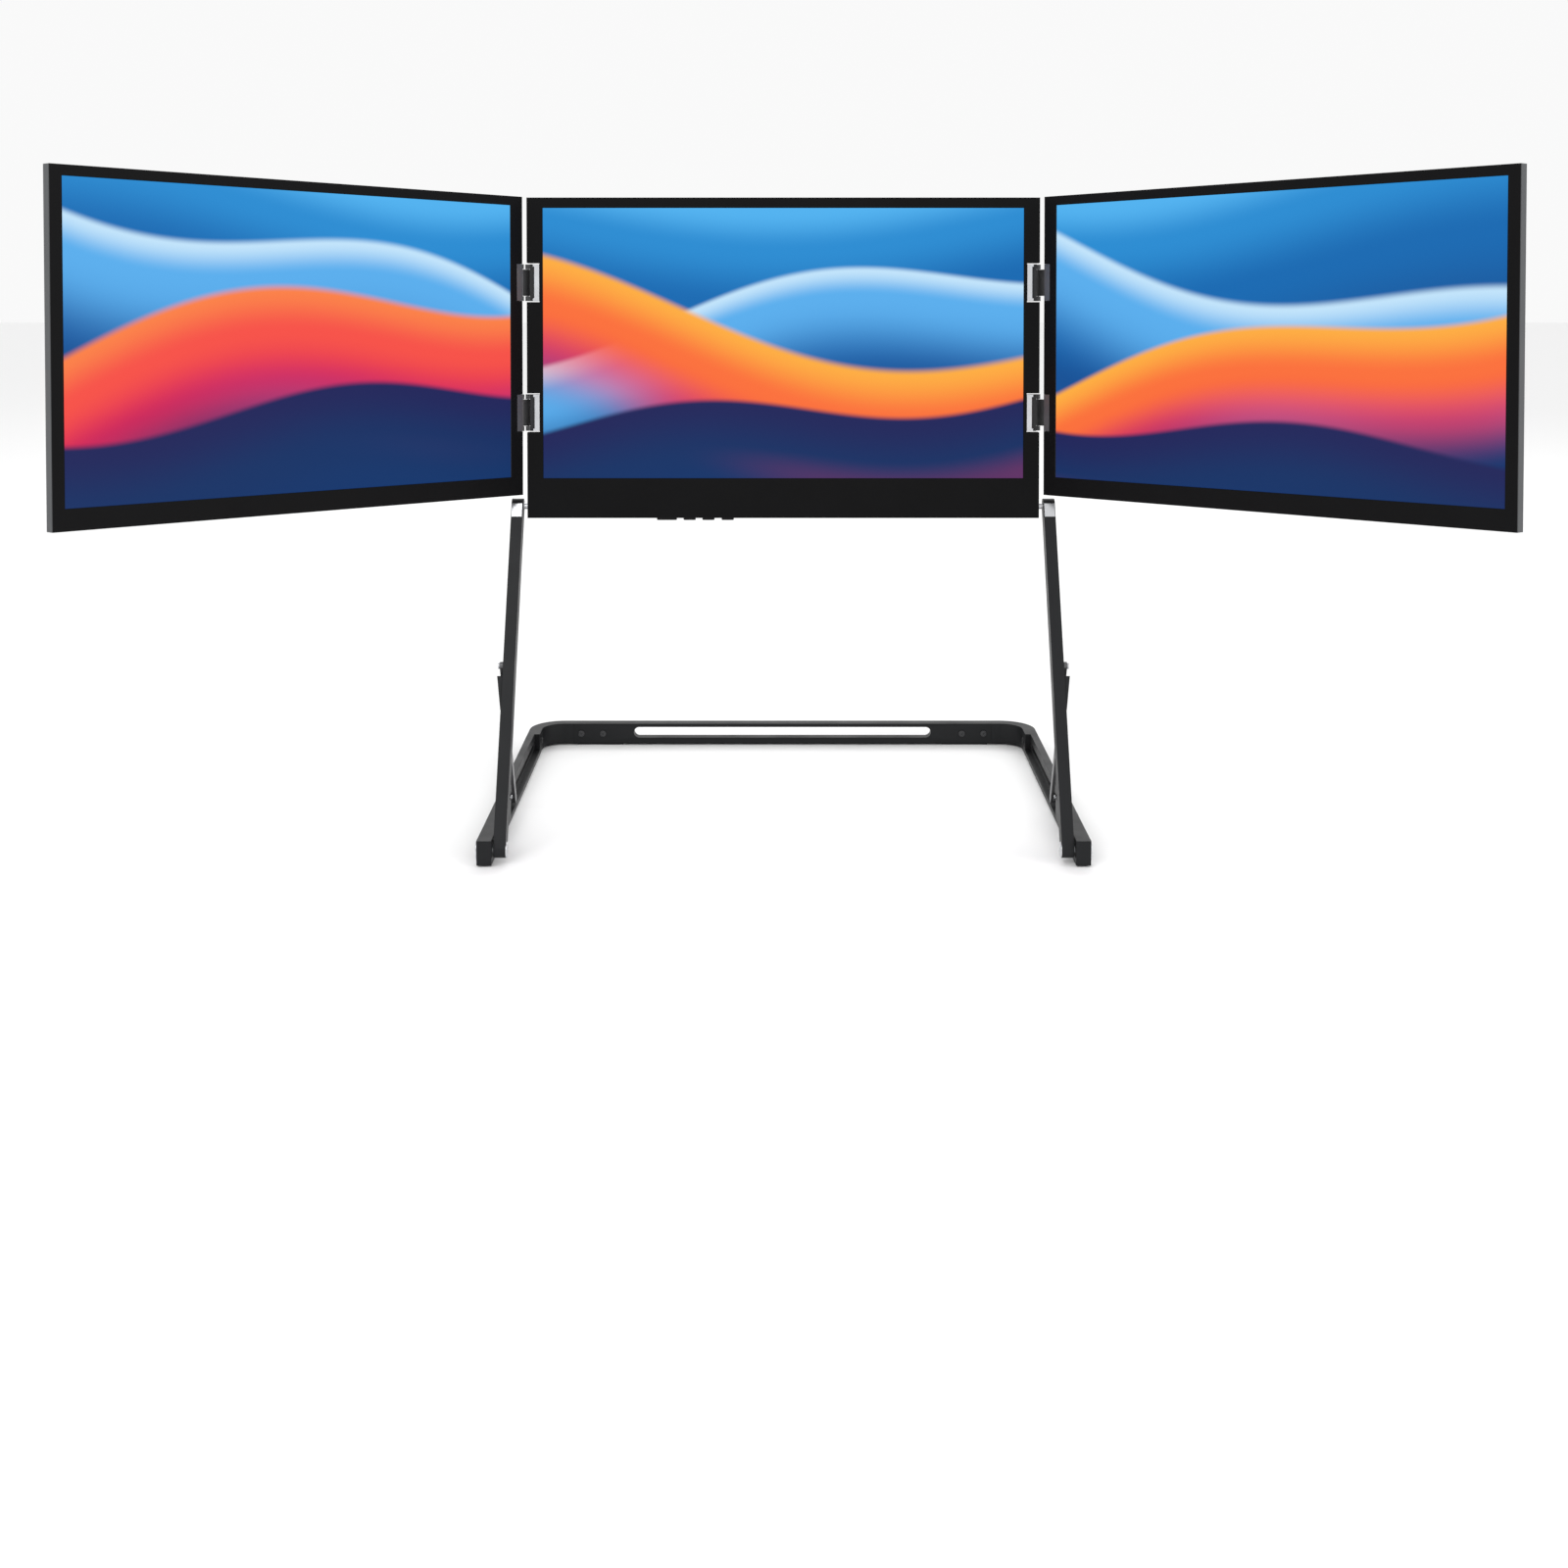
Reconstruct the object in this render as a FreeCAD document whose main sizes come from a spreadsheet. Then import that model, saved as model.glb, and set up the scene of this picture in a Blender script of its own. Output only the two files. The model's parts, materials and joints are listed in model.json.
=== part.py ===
# Folding triple-screen extender: a U-shaped base frame, two legs that carry a
# centre screen, and two side screens on two-pin hinges.
#
# Millimetres. +X is the viewer's right, +Y points away from the viewer, +Z up.
# The origin is on the table, at the middle of the opened unit's footprint.
# Screens are built flat in their own frame: X across, Y from the display face
# towards the back, Z up the screen, with Z = 0 at the tilt axis.
import FreeCAD, Part
import math
import os
import re
import Sketcher

V3 = FreeCAD.Vector
ROT = FreeCAD.Rotation
PLC = FreeCAD.Placement

doc = FreeCAD.newDocument("screen_extender")
sheet = doc.addObject("Spreadsheet::Sheet", "dims")

# ---------------------------------------------------------------- dimensions
SIZES = [
    ("pivot_y", -64.2, "front pivot, distance behind the origin"),
    ("pivot_z", 8.5, "front pivot height, half way up the bars"),
    ("leg_len", 220.0, "front pivot to tilt axis"),
    ("leg_angle", 62.5, "leg above the table, opened, degrees"),
    ("lean", 3.5, "centre screen leans back, degrees"),
    ("fan", 49.3, "side screens turned towards the viewer, degrees"),
    ("half_out", 185.2, "half the base width"),
    ("bar_w", 9.0, "width of the base bars"),
    ("bar_h", 15.0, "height of the base bars"),
    ("foot_h", 1.0, "thickness of the rubber feet"),
    ("front_over", 7.2, "arm beyond the pivot at the front"),
    ("base_back", 279.1, "pivot to the back face of the crossbar"),
    ("corner_r", 24.0, "outer radius of the rear corners"),
    ("seam_x", 155.0, "half length of the crossbar"),
    ("seam_y", 246.0, "pivot to the end of an arm"),
    ("slot_half", 106.0, "half distance between the handle slot's round ends"),
    ("slot_r", 4.0, "half height of the handle slot"),
    ("leg_in", 168.1, "leg inner face"),
    ("leg_w", 7.4, "leg width"),
    ("leg_r", 4.9, "half the depth of a leg"),
    ("pin_r", 2.5, "front pivot pin radius"),
    ("run", 0.05, "running clearance of a pin, radial"),
    ("strut_at", 114.0, "front pivot to the strut's pin on the leg"),
    ("strut_len", 114.0, "strut between its two pins"),
    ("strut_r", 2.6, "half the depth of a strut"),
    ("strut_w", 2.0, "strut thickness"),
    ("strut_pin_r", 1.4, "strut pin radius"),
    ("track_r", 1.7, "half height of the strut pin's track in an arm"),
    ("track_front", 103.0, "pivot to the track's front end"),
    ("track_back", 231.0, "pivot to the track's rear end"),
    ("screen_w", 330.4, "centre screen width"),
    ("screen_h", 206.6, "centre screen height"),
    ("screen_t", 9.0, "centre screen thickness"),
    ("below", 7.4, "centre screen below the tilt axis"),
    ("tilt_in", 4.5, "tilt axis behind the display face"),
    ("view_w", 309.9, "visible picture width"),
    ("view_h", 174.3, "visible picture height"),
    ("chin", 25.7, "centre screen's lower border"),
    ("face_t", 1.0, "centre front frame thickness"),
    ("wing_w", 327.0, "side screen width"),
    ("wing_h", 192.0, "side screen height"),
    ("wing_t", 6.0, "side screen thickness"),
    ("wing_low", 7.6, "side screen's lower edge above the tilt axis"),
    ("wing_face", 0.8, "side front frame thickness"),
    ("wing_edge", 10.0, "side screen's border at the hinge"),
    ("wing_foot", 11.9, "side screen's lower border"),
    ("shaft_r", 2.0, "tilt shaft radius"),
    ("hinge_hi", 144.6, "upper hinge above the tilt axis"),
    ("hinge_lo", 60.6, "lower hinge above the tilt axis"),
    ("hinge_h", 23.6, "height of a screen hinge"),
    ("hinge_r", 1.6, "half thickness of a hinge link"),
    ("hinge_pin_r", 0.8, "screen hinge pin radius"),
    ("hinge_x", 165.4, "first hinge pin from the middle"),
    ("link_h", 17.0, "height of a hinge link"),
    ("left_link", 5.5, "left hinge link between its pins"),
    ("right_link", 7.5, "right hinge link between its pins"),
    ("key_drop", 1.6, "keys stand out below the lower edge"),
]
V = {}
for row, (name, value, note) in enumerate(SIZES, start=1):
    sheet.set("A%d" % row, name)
    sheet.set("B%d" % row, repr(value))
    sheet.set("C%d" % row, note)
    sheet.setAlias("B%d" % row, name)
    V[name] = value
doc.recompute()

WORD = re.compile(r"[a-z][a-z_]+")


def bound(text):
    return WORD.sub(lambda w: "dims." + w.group(0) if w.group(0) in V else w.group(0), text)


def put(obj, prop, value):
    if isinstance(value, str):
        obj.setExpression(prop, bound(value))
    else:
        target = obj
        parts = prop.split(".")
        if len(parts) == 1:
            setattr(obj, prop, value)
        else:
            base = obj.Placement.Base
            setattr(base, parts[-1], value)
            obj.Placement = PLC(base, obj.Placement.Rotation)


count = [0]


def fresh(stem):
    count[0] += 1
    return "%s_%03d" % (stem, count[0])


def box(size, at):
    o = doc.addObject("Part::Box", fresh("block"))
    for prop, v in zip(("Length", "Width", "Height"), size):
        put(o, prop, v)
    for prop, v in zip(("x", "y", "z"), at):
        put(o, "Placement.Base." + prop, v)
    return o


def cyl(radius, height, at, axis="z", angle=360.0, turn=0.0):
    o = doc.addObject("Part::Cylinder", fresh("round"))
    rot = {"z": ROT(V3(0, 0, 1), turn), "x": ROT(V3(0, 1, 0), 90), "y": ROT(V3(1, 0, 0), -90)}[axis]
    o.Placement = PLC(V3(0, 0, 0), rot)
    put(o, "Radius", radius)
    put(o, "Height", height)
    o.Angle = angle
    for prop, v in zip(("x", "y", "z"), at):
        put(o, "Placement.Base." + prop, v)
    return o


def fuse(*objs):
    if len(objs) == 1:
        return objs[0]
    o = doc.addObject("Part::MultiFuse", fresh("union"))
    o.Shapes = list(objs)
    return o


def cut(base, *tools):
    o = doc.addObject("Part::Cut", fresh("cut"))
    o.Base = base
    o.Tool = fuse(*tools)
    return o


def group(*objs):
    o = doc.addObject("Part::Compound", fresh("set"))
    o.Links = list(objs)
    return o


NODES = []


def node(label, obj, place=None):
    if place is not None and obj.TypeId in ("Part::Box", "Part::Cylinder"):
        obj = group(obj)        # keeps the block's own offset inside its screen or bar
    obj.Label = label
    if place is not None:
        obj.Placement = place
    NODES.append((label, obj))
    return obj


def plane(body, role):
    for f in body.Origin.OriginFeatures:
        if getattr(f, "Role", "") == role:
            return f


def bar_body(stem, length, radius, thick, hole, hole_end=None):
    """A flat bar with round ends from (0,0) to (length,0), padded along +Z, with a pin hole at each end."""
    body = doc.addObject("PartDesign::Body", fresh(stem))
    n_len, n_r = V[length], V[radius]
    sk = body.newObject("Sketcher::SketchObject", fresh("outline"))
    sk.AttachmentSupport = [(plane(body, "XY_Plane"), "")]
    sk.MapMode = "FlatFace"
    sk.addGeometry([
        Part.LineSegment(V3(0, n_r, 0), V3(n_len, n_r, 0)),
        Part.ArcOfCircle(Part.Circle(V3(n_len, 0, 0), V3(0, 0, 1), n_r), -math.pi / 2, math.pi / 2),
        Part.LineSegment(V3(n_len, -n_r, 0), V3(0, -n_r, 0)),
        Part.ArcOfCircle(Part.Circle(V3(0, 0, 0), V3(0, 0, 1), n_r), math.pi / 2, 3 * math.pi / 2),
    ], False)
    C = Sketcher.Constraint
    sk.addConstraint([
        C("Tangent", 0, 1, 3, 1), C("Tangent", 0, 2, 1, 2), C("Tangent", 2, 1, 1, 1), C("Tangent", 2, 2, 3, 2),
        C("Coincident", 3, 3, -1, 1), C("Horizontal", 0), C("Equal", 1, 3),
    ])
    i = sk.addConstraint(C("DistanceX", 3, 3, 1, 3, n_len))
    sk.setExpression("Constraints[%d]" % i, "dims." + length)
    i = sk.addConstraint(C("Radius", 1, n_r))
    sk.setExpression("Constraints[%d]" % i, "dims." + radius)
    pad = body.newObject("PartDesign::Pad", fresh("pad"))
    pad.Profile = sk
    pad.setExpression("Length", "dims." + thick)
    doc.recompute()
    full = pad.Shape.Volume
    hs = body.newObject("Sketcher::SketchObject", fresh("holes"))
    hs.AttachmentSupport = [(plane(body, "XY_Plane"), "")]
    hs.MapMode = "FlatFace"
    hs.addGeometry([
        Part.Circle(V3(0, 0, 0), V3(0, 0, 1), 0.5 * n_r),
        Part.Circle(V3(n_len, 0, 0), V3(0, 0, 1), 0.5 * n_r),
    ], False)
    hs.addConstraint([C("Coincident", 0, 3, -1, 1), C("PointOnObject", 1, 3, -1)])
    i = hs.addConstraint(C("DistanceX", 0, 3, 1, 3, n_len))
    hs.setExpression("Constraints[%d]" % i, "dims." + length)
    i = hs.addConstraint(C("Radius", 0, 0.5 * n_r))
    hs.setExpression("Constraints[%d]" % i, bound(hole))
    i = hs.addConstraint(C("Radius", 1, 0.5 * n_r))
    hs.setExpression("Constraints[%d]" % i, bound(hole_end or hole))
    pk = body.newObject("PartDesign::Pocket", fresh("pocket"))
    pk.Profile = hs
    pk.Type = 1
    pk.Reversed = True
    doc.recompute()
    if not pk.Shape.Volume < full - 0.1:
        raise SystemExit("the pin holes of %s cut nothing" % stem)
    body.Tip = pk
    return body


# ------------------------------------------------------------ derived places
lean, fan = math.radians(V["lean"]), math.radians(V["fan"])
la = math.radians(V["leg_angle"])
PIVOT = V3(0, V["pivot_y"], V["pivot_z"])
TILT = PIVOT + V3(0, math.cos(la), math.sin(la)) * V["leg_len"]
SCREEN = PLC(TILT, ROT(V3(1, 0, 0), -V["lean"])) * PLC(V3(0, -V["tilt_in"], 0), ROT())
EDGE_X = 167.9          # inner front edge of an opened side screen
PIN_OUT = 1.9           # second hinge pin beyond the side screen's edge

# side: sign, depth of the first pin, depth of the second pin in the side screen, link
HINGE = {"left": (-1, 7.0, 3.0, V["left_link"]), "right": (1, 9.5, 5.0, V["right_link"])}
GEO = {}
for side, (sg, deep_a, deep_b, link) in HINGE.items():
    dx = EDGE_X - PIN_OUT * math.cos(fan) + deep_b * math.sin(fan) - V["hinge_x"]
    dy = -math.sqrt(link ** 2 - dx ** 2)
    edge_y = deep_a + dy - PIN_OUT * math.sin(fan) - deep_b * math.cos(fan)
    turn_a = 90.0 - math.degrees(math.atan2(dy, dx))
    turn_b = 180.0 + V["fan"] - turn_a
    wing = SCREEN * PLC(V3(sg * EDGE_X, edge_y, 0), ROT(V3(0, 0, 1), -sg * V["fan"]))
    GEO[side] = dict(
        sg=sg, a=V3(sg * V["hinge_x"], deep_a, 0), b=V3(sg * (V["hinge_x"] + dx), deep_a + dy, 0),
        deep_b=deep_b, link=link, turn_a=turn_a, turn_b=turn_b, wing=wing, angle=math.degrees(math.atan2(dy, dx)),
    )

# -------------------------------------------------------------- base frame
zlow = "foot_h"
cross = box(("2*seam_x", "bar_w", "bar_h"), ("-seam_x", "base_back-bar_w", zlow))
slot_z = 9.5
channel = fuse(
    box(("2*slot_half", 30.0, "2*slot_r"), ("-slot_half", "base_back-20", "%g-slot_r" % slot_z)),
    cyl("slot_r", 30.0, ("-slot_half", "base_back-20", slot_z), "y"),
    cyl("slot_r", 30.0, ("slot_half", "base_back-20", slot_z), "y"),
)
lip = fuse(
    box(("2*slot_half", 5.0, "2*slot_r+2"), ("-slot_half", "base_back-1.2", "%g-slot_r-1" % slot_z)),
    cyl("slot_r+1", 5.0, ("-slot_half", "base_back-1.2", slot_z), "y"),
    cyl("slot_r+1", 5.0, ("slot_half", "base_back-1.2", slot_z), "y"),
)
BASE = PLC(V3(0, V["pivot_y"], 0), ROT())
node("base_crossbar", cut(cross, channel, lip), BASE)

for side, sg in (("left", -1), ("right", 1)):
    # rear corner: a quarter ring with two short straights
    cx = "half_out-corner_r" if sg > 0 else "-half_out+corner_r"
    ring = cut(
        cyl("corner_r", "bar_h", (cx, "base_back-corner_r", zlow), angle=90.0, turn=0.0 if sg > 0 else 90.0),
        cyl("corner_r-bar_w", "bar_h+2", (cx, "base_back-corner_r", "foot_h-1")),
    )
    s1 = box(("half_out-corner_r-seam_x", "bar_w", "bar_h"),
             ("seam_x" if sg > 0 else "-half_out+corner_r", "base_back-bar_w", zlow))
    s2 = box(("bar_w", "base_back-corner_r-seam_y", "bar_h"),
             ("half_out-bar_w" if sg > 0 else "-half_out", "seam_y", zlow))
    node("base_corner_" + side, fuse(ring, s1, s2), BASE)

    # arm: a bar with an open-topped channel for the strut, a slot line outside
    x0 = "half_out-bar_w" if sg > 0 else "-half_out"
    bar = box(("bar_w", "seam_y+front_over", "bar_h"), (x0, "-front_over", zlow))
    ch_x = "half_out-bar_w-1" if sg > 0 else "-half_out+bar_w-4"
    chan = box((5.0, 158.0, 20.0), (ch_x, 82.0, 4.2))
    line_x = "half_out-8" if sg > 0 else "-half_out-2"
    line = fuse(
        box((10.0, "track_back-track_front", "2*track_r"), (line_x, "track_front", "pivot_z-track_r")),
        cyl("track_r", 10.0, (line_x, "track_front", "pivot_z"), "x"),
        cyl("track_r", 10.0, (line_x, "track_back", "pivot_z"), "x"),
    )
    pinhole = cyl("pin_r", 30.0, ("half_out-20" if sg > 0 else "-half_out-10", 0.0, "pivot_z"), "x")
    node("base_arm_" + side, cut(bar, chan, line, pinhole), BASE)

feet = []
for sg in (-1, 1):
    feet.append(box((7.0, 22.0, "foot_h"), ("%g*(half_out-bar_w/2)-3.5" % sg, 4.0, 0.0)))
    feet.append(box((34.0, 7.0, "foot_h"), ("%g*(seam_x-20)-17" % sg, "base_back-bar_w/2-3.5", 0.0)))
node("rubber_feet", group(*feet), BASE)

screws = []
for sg in (-1, 1):
    screws.append(cyl(2.2, 0.8, ("%g*(seam_x-6)" % sg, "base_back-bar_w-0.8", 8.5), "y"))
    screws.append(cyl(2.2, 0.8, ("%g*(seam_x-22)" % sg, "base_back-bar_w-0.8", 8.5), "y"))
    screws.append(cyl(2.2, 0.8, ("%g*(half_out-bar_w)-%g" % (sg, 0.8 if sg > 0 else 0.0), "seam_y+5", 8.5), "x"))
node("corner_screws", group(*screws), BASE)

pins, caps = [], []
for sg in (-1, 1):
    pins.append(cyl("pin_r", "half_out-leg_in-0.6", ("leg_in+0.6" if sg > 0 else "-half_out", 0.0, "pivot_z"), "x"))
    caps.append(cyl(6.6, 0.8, ("half_out" if sg > 0 else "-half_out-0.8", 0.0, "pivot_z"), "x"))
node("front_pivot_pins", group(*pins), BASE)
node("outer_pivot_caps", group(*caps), BASE)

# swivel latches that turn over the folded legs
LATCH_Y, LATCH_X = 74.0, 180.6
for side, sg in (("left", -1), ("right", 1)):
    body = cut(
        fuse(box((5.6, 9.0, 3.2), (-2.8, 0.0, 0.0)), cyl(2.8, 3.2, (0.0, 0.0, 0.0)), cyl(2.8, 3.2, (0.0, 9.0, 0.0))),
        cyl(1.05, 10.0, (0.0, 0.0, -3.0)),
    )
    node("leg_latch_" + side, body, PLC(V3(sg * LATCH_X, V["pivot_y"] + LATCH_Y, 16.0), ROT()))
lscrews = []
for sg in (-1, 1):
    lscrews.append(fuse(
        cyl(1.0, 3.2, (sg * LATCH_X, LATCH_Y, 16.0)),
        cyl(1.9, 0.9, (sg * LATCH_X, LATCH_Y, 19.2)),
    ))
node("latch_screws", group(*lscrews), BASE)

# ---------------------------------------------------------------------- legs
for side, sg in (("left", -1), ("right", 1)):
    # pad runs along the bar's own Z, which points to +X of the unit after the turn below
    turn = ROT(V3(1, 0, 0), V["leg_angle"]).multiply(ROT(V3(0, 1, 0), V3(0, 0, 1), V3(1, 0, 0), "ZXY"))
    x0 = V["leg_in"] if sg > 0 else -V["leg_in"] - V["leg_w"]
    leg = bar_body("leg_bar", "leg_len", "leg_r", "leg_w", "pin_r+run", "shaft_r+run")
    node("leg_" + side, leg, PLC(V3(x0, PIVOT.y, PIVOT.z), turn))
    st = bar_body("strut_bar", "strut_len", "strut_r", "strut_w", "strut_pin_r+run")
    sin_f = V["strut_at"] * math.sin(la) / V["strut_len"]
    strut_down = math.degrees(math.asin(sin_f))
    pin = PIVOT + V3(0, math.cos(la), math.sin(la)) * V["strut_at"]
    sx = 175.8 if sg > 0 else -175.8 - V["strut_w"]
    turn_s = ROT(V3(1, 0, 0), -strut_down).multiply(ROT(V3(0, 1, 0), V3(0, 0, 1), V3(1, 0, 0), "ZXY"))
    node("strut_" + side, st, PLC(V3(sx, pin.y, pin.z), turn_s))
    foot_y = V["strut_at"] * math.cos(la) + V["strut_len"] * math.cos(math.radians(strut_down))

tpins = []
for sg in (-1, 1):
    tpins.append(fuse(
        cyl("strut_pin_r", 8.6, (175.9 if sg > 0 else -184.5, 0.0, 0.0), "x"),
        cyl(2.4, 1.0, (178.1 if sg > 0 else -179.1, 0.0, 0.0), "x"),
    ))
node("track_pins", group(*tpins), PLC(V3(0, PIVOT.y + foot_y, PIVOT.z), ROT()))

LEG = PLC(PIVOT, ROT(V3(1, 0, 0), V["leg_angle"]))   # Y up the leg, Z to its front
spins, icaps, plates = [], [], []
for sg in (-1, 1):
    spins.append(fuse(
        cyl("strut_pin_r", 2.7, (175.5 if sg > 0 else -178.2, "strut_at", 0.0), "x"),
        cyl(2.1, 0.9, (178.1 if sg > 0 else -179.0, "strut_at", 0.0), "x"),
    ))
    icaps.append(cyl(4.8, 0.6, ("leg_in-0.6" if sg > 0 else "-leg_in", 0.0, 0.0), "x"))
    plates.append(box(("leg_w-0.8", 9.0, 0.5), ("leg_in+0.4" if sg > 0 else "-leg_in-leg_w+0.4", "leg_len-9", "leg_r")))
node("strut_upper_pins", group(*spins), LEG)
for side, sg in (("left", -1), ("right", 1)):
    wd = doc.addObject("Part::Wedge", fresh("ramp"))
    wd.Xmin, wd.Xmax, wd.X2min, wd.X2max = 0.0, 0.3, 0.0, 3.4
    wd.Ymin, wd.Ymax = 0.0, 21.5
    wd.Zmin, wd.Zmax, wd.Z2min, wd.Z2max = -4.0, 4.0, -4.0, 4.0
    node("leg_stop_" + side, wd, LEG * PLC(V3(sg * (V["leg_in"] + V["leg_w"]), 85.0, 0.0), ROT(V3(0, 1, 0), 0 if sg > 0 else 180)))
node("inner_pivot_caps", group(*icaps), LEG)
node("leg_end_plates", group(*plates), LEG)

shafts = []
for sg in (-1, 1):
    shafts.append(cyl("shaft_r", 13.0, (161.4 if sg > 0 else -174.4, 0.0, 0.0), "x"))
node("tilt_shafts", group(*shafts), PLC(TILT, ROT(V3(1, 0, 0), -V["lean"])))

# ------------------------------------------------------------ centre screen
notch = []
for sg in (-1, 1):
    for zc in ("hinge_hi", "hinge_lo"):
        notch.append(box((12.0, 30.0, "hinge_h+1.6"),
                         (157.0 if sg > 0 else -169.0, -10.0, zc + "-hinge_h/2-0.8")))
shell = box(("screen_w", "screen_t-face_t", "screen_h"), ("-screen_w/2", "face_t", "-below"))
hollow = box((312.0, "screen_t-face_t-1.4", "screen_h-3.2"), (-156.0, "face_t", "-below+1.6"))
tilt_hole = cyl("shaft_r", 400.0, (-200.0, "tilt_in", 0.0), "x")
PORTS = [(68.8, 11.2), (48.2, 11.2), (27.8, 11.2), (8.1, 8.9), (-10.5, 8.9)]
KEYS = [("key_power", -36.0), ("key_plus", -48.5), ("key_minus", -60.7)]
port_holes = [box((w, 3.2, 6.0), (x - w / 2, 3.6, "-below-2")) for x, w in PORTS]
key_holes = [box((8.4, 4.4, 6.0), (x - 4.2, 3.0, "-below-2")) for n, x in KEYS]
rocker_hole = box((14.0, 4.4, 6.0), (-75.4 - 7.0, 3.0, "-below-2"))
SCREW_AT = [(-145, -2.0), (0, -2.0), (145, -2.0), (-145, 195.6), (0, 195.6), (145, 195.6)]
bores = [cyl(2.4, 2.0, (x, "screen_t-0.7", z), "y") for x, z in SCREW_AT]
soft = doc.addObject("Part::Cut", "centre_shell_blank")
soft.Base = shell
soft.Tool = fuse(hollow, tilt_hole, rocker_hole, *(port_holes + key_holes + bores + notch))
node("centre_rear_shell", soft, SCREEN)
heads = [cyl(2.3, 0.5, (x, "screen_t-0.7", z), "y") for x, z in SCREW_AT]
node("centre_shell_screws", group(*heads), SCREEN)

notch_f = []
for sg in (-1, 1):
    for zc in ("hinge_hi", "hinge_lo"):
        notch_f.append(box((12.0, 10.0, "hinge_h+1.6"),
                           (157.0 if sg > 0 else -169.0, -5.0, zc + "-hinge_h/2-0.8")))
frame = box(("screen_w", "face_t", "screen_h"), ("-screen_w/2", 0.0, "-below"))
window = box(("view_w", 10.0, "view_h"), ("-view_w/2", -5.0, "chin-below"))
node("centre_front_frame", cut(frame, window, *notch_f), SCREEN)
node("centre_lcd_panel", box((311.6, 1.4, "view_h+1.6"), (-155.8, "face_t", "chin-below-0.8")), SCREEN)
node("centre_backlight", box((311.0, 2.2, "view_h+1.0"), (-155.5, "face_t+1.6", "chin-below-0.5")), SCREEN)
node("centre_control_board", box((190.0, 1.1, 14.0), (-95.0, 6.2, 0.2)), SCREEN)
ports = []
for x, w in PORTS:
    ports.append(cut(
        box((w - 0.1, 3.1, 7.0), (x - w / 2 + 0.05, 3.65, "-below+0.15")),
        box((w - 1.3, 1.9, 6.4), (x - w / 2 + 0.65, 4.25, "-below")),
    ))
node("port_sockets", group(*ports), SCREEN)
node("speakers", group(box((34.0, 3.4, 13.0), (-140.0, 3.4, -3.0)), box((34.0, 3.4, 13.0), (106.0, 3.4, -3.0))), SCREEN)
for n, x in KEYS:
    key = fuse(
        box((4.0, 4.0, "key_drop+3.4"), (x - 2.0, 3.2, "-below-key_drop")),
        cyl(2.0, "key_drop+3.4", (x - 2.0, 5.2, "-below-key_drop")),
        cyl(2.0, "key_drop+3.4", (x + 2.0, 5.2, "-below-key_drop")),
        box((9.6, 4.2, 0.8), (x - 4.8, 3.1, "-below+1.8")),
    )
    node(n, key, SCREEN)
rk = fuse(
    box((9.0, 4.0, "key_drop+4.2"), (-75.4 - 4.5, 3.2, "-below-key_drop")),
    cyl(2.0, "key_drop+4.2", (-75.4 - 4.5, 5.2, "-below-key_drop")),
    cyl(2.0, "key_drop+4.2", (-75.4 + 4.5, 5.2, "-below-key_drop")),
    cyl(0.8, 1.2, (-75.4, 2.4, -4.6), "y"),
)
node("key_rocker", rk, SCREEN)

# hinge leaves on the centre screen: a bright bar in each notch, with two ears
leaves, bars, wells, pins = [], [], [], []
for side in ("left", "right"):
    g = GEO[side]
    sg, ay = g["sg"], g["a"].y
    for zc in ("hinge_hi", "hinge_lo"):
        def b(x0, x1, y0, dy, z0, h):
            return box((x1 - x0, dy, h), (x0 if sg > 0 else -x1, y0, z0))
        top = min(8.6, ay + 1.6)
        solid = fuse(
            b(157.1, 160.5, 1.8, top - 1.8, zc + "-hinge_h/2", "hinge_h"),
            b(157.1, 165.4, ay - 1.4, 2.0 if ay < 8 else 1.0, zc + "-hinge_h/2", 3.0),
            b(157.1, 165.4, ay - 1.4, 2.0 if ay < 8 else 1.0, zc + "+hinge_h/2-3", 3.0),
            cyl("hinge_r", 3.0, (sg * V["hinge_x"], ay, zc + "-hinge_h/2")),
            cyl("hinge_r", 3.0, (sg * V["hinge_x"], ay, zc + "+hinge_h/2-3")),
        )
        bars.append(fuse(
            b(157.2, 160.4, 0.1, 1.7, zc + "-hinge_h/2", "hinge_h"),
            b(160.0, 161.3, 0.1, 1.5, zc + "-hinge_h/2", 1.6),
            b(160.0, 161.3, 0.1, 1.5, zc + "+hinge_h/2-1.6", 1.6),
        ))
        wells.append(b(160.5, 163.4, 1.8, ay - 1.6 - 1.8, zc + "-hinge_h/2", "hinge_h"))
        leaves.append(cut(solid, cyl("hinge_pin_r", 40.0, (sg * V["hinge_x"], ay, zc + "-20"))))
        pins.append(cyl("hinge_pin_r", "hinge_h", (sg * V["hinge_x"], ay, zc + "-hinge_h/2")))
node("centre_hinge_leaves", group(*leaves), SCREEN)
node("centre_hinge_bars", group(*bars), SCREEN)
node("centre_hinge_wells", group(*wells), SCREEN)
node("centre_hinge_pins", group(*pins), SCREEN)

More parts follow.
